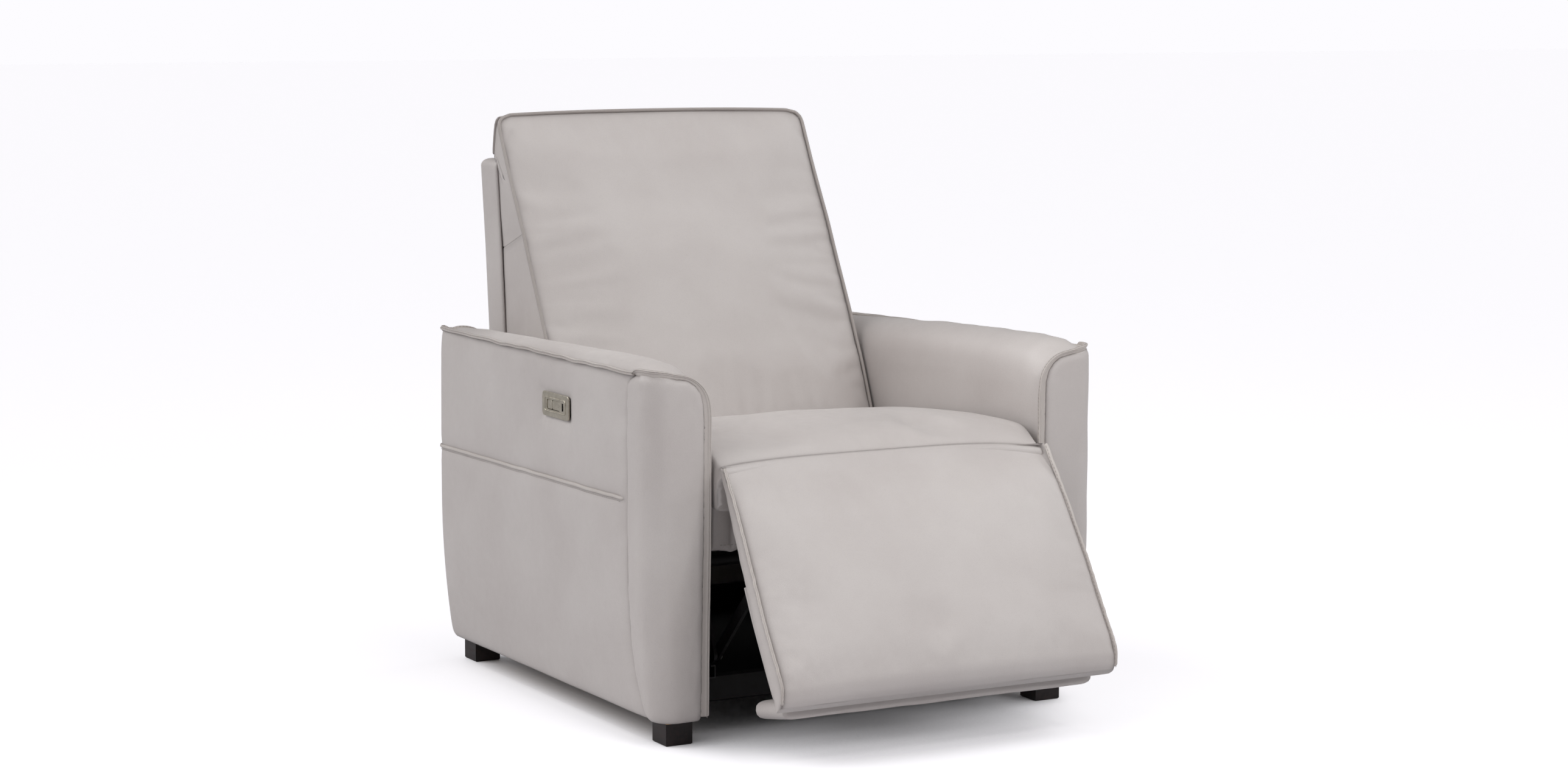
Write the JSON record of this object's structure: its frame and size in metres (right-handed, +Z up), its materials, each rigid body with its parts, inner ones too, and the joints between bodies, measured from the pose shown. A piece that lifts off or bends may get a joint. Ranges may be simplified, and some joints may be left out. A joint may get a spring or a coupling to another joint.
{
  "type": "power recliner",
  "caption": "Power recliner armchair in leather: a drive swings the footrest and flap out, a second one leans the back as the seat glides forward, and the headrest tilts.",
  "frame": {"origin": "on the floor, under the middle of the whole outline with the footrest part way out, as in the picture", "axes": "+Z up; -Y is the front, where the footrest comes out, so +Y is the chair's depth; +X is to the right of someone who faces the chair, which is the sitter's left, and is the chair's width"},
  "size_m": [0.876, 1.1732, 0.9927],
  "materials": {
    "leather": "semi-matte",
    "timber": "matte",
    "espresso_wood": "satin",
    "black_timber": "matte",
    "black_steel": "satin",
    "zinc_steel": "satin",
    "black_plastic": "matte",
    "nickel": "satin",
    "port_shell": "polished"
  },
  "bodies": {
    "base": {"foot_front_right": "espresso_wood", "foot_front_left": "espresso_wood", "foot_rear_right": "espresso_wood", "foot_rear_left": "espresso_wood", "foot_studs": "zinc_steel", "right_arm_frame": "timber", "left_arm_frame": "timber", "right_arm_outer_panel": "leather", "left_arm_outer_panel": "leather", "right_arm_front_pad": "leather", "left_arm_front_pad": "leather", "right_arm_top_pad": "leather", "left_arm_top_pad": "leather", "right_glide_track": "black_steel", "left_glide_track": "black_steel", "base_cross_rails": "black_timber", "rear_apron": "leather", "power_supply": "black_plastic", "power_inlet": "black_plastic", "switch_bezel": "nickel", "switch_housing": "black_plastic", "usb_port": "port_shell"},
    "seat": {"right_glide_runner": "zinc_steel", "left_glide_runner": "zinc_steel", "right_side_plate": "black_steel", "left_side_plate": "black_steel", "seat_side_rails": "timber", "seat_cross_rails": "timber", "seat_springs": "zinc_steel", "seat_cushion": "leather", "seat_front_panel": "leather", "drive_cross_tube": "black_steel", "recline_pins": "zinc_steel", "footrest_drive": "black_plastic", "recline_drive": "black_plastic"},
    "back": {"right_back_frame": "timber", "left_back_frame": "timber", "right_back_side_panel": "leather", "left_back_side_panel": "leather", "back_cross_rails": "timber", "back_springs": "zinc_steel", "back_cushion": "leather", "back_outer_panel": "leather", "recline_crank": "black_steel", "headrest_guides": "black_steel"},
    "headrest": {"headrest_board": "timber", "headrest_cushion": "leather", "headrest_quadrants": "zinc_steel"},
    "footrest": {"footrest_pad": "leather", "ottoman_board": "leather", "footrest_brackets": "black_steel", "flap_hinge_leaves": "black_steel"},
    "flap": {"flap_pad": "leather", "flap_leaves": "black_steel"},
    "crank": {"footrest_crank": "black_steel"},
    "links": {"footrest_links": "black_steel"},
    "footrest_rod": {"footrest_rod": "zinc_steel"},
    "recline_rod": {"recline_rod": "zinc_steel"},
    "open_button": {"open_button": "nickel"},
    "close_button": {"close_button": "nickel"}
  },
  "joints": [
    {"name": "seat_glide", "type": "slide", "parent": "base", "child": "seat", "axis": [0, -1, 0], "range_m": [-0.00834, 0.05001]},
    {"name": "recline", "type": "hinge", "parent": "seat", "child": "back", "pos_m": [0, 0.267, 0.36], "axis": [-1, 0, 0], "range_deg": [-6, 36]},
    {"name": "headrest_tilt", "type": "hinge", "parent": "back", "child": "headrest", "pos_m": [0, 0.38152, 0.80135], "axis": [1, 0, 0], "range_deg": [0, 30]},
    {"name": "footrest_swing", "type": "hinge", "parent": "seat", "child": "footrest", "pos_m": [0, -0.351, 0.462], "axis": [-1, 0, 0], "range_deg": [-35.6, 54.4]},
    {"name": "flap_unfold", "type": "hinge", "parent": "footrest", "child": "flap", "pos_m": [0, -0.54394, 0.11434], "axis": [-1, 0, 0], "range_deg": [-71.21, 108.81]},
    {"name": "crank_turn", "type": "hinge", "parent": "seat", "child": "crank", "pos_m": [0, -0.173, 0.28], "axis": [-1, 0, 0], "range_deg": [-35.61, 54.41]},
    {"name": "link_turn", "type": "hinge", "parent": "crank", "child": "links", "pos_m": [0, -0.23768, 0.12953], "axis": [-1, 0, 0], "range_deg": [-54.41, 35.61]},
    {"name": "footrest_rod_slide", "type": "slide", "parent": "seat", "child": "footrest_rod", "axis": [0, -1, 0], "range_m": [-0.02287, 0.03495]},
    {"name": "recline_rod_slide", "type": "slide", "parent": "seat", "child": "recline_rod", "axis": [0, -1, 0], "range_m": [-0.00825, 0.04942]},
    {"name": "open_press", "type": "slide", "parent": "base", "child": "open_button", "axis": [1, 0, 0], "range_m": [0, 0.0015], "stiffness_N_per_m": 600, "springref_m": -0.001},
    {"name": "close_press", "type": "slide", "parent": "base", "child": "close_button", "axis": [1, 0, 0], "range_m": [0, 0.0015], "stiffness_N_per_m": 600, "springref_m": -0.001}
  ],
  "couplings": [
    {"joint": "seat_glide", "follows": "recline", "m_per_rad": 0.079577},
    {"joint": "recline_rod_slide", "follows": "recline", "m_per_rad": 0.07864},
    {"joint": "flap_unfold", "follows": "footrest_swing", "ratio": 2},
    {"joint": "crank_turn", "follows": "footrest_swing", "ratio": 1},
    {"joint": "link_turn", "follows": "footrest_swing", "ratio": -1},
    {"joint": "footrest_rod_slide", "follows": "footrest_swing", "m_per_rad": 0.0368}
  ]
}
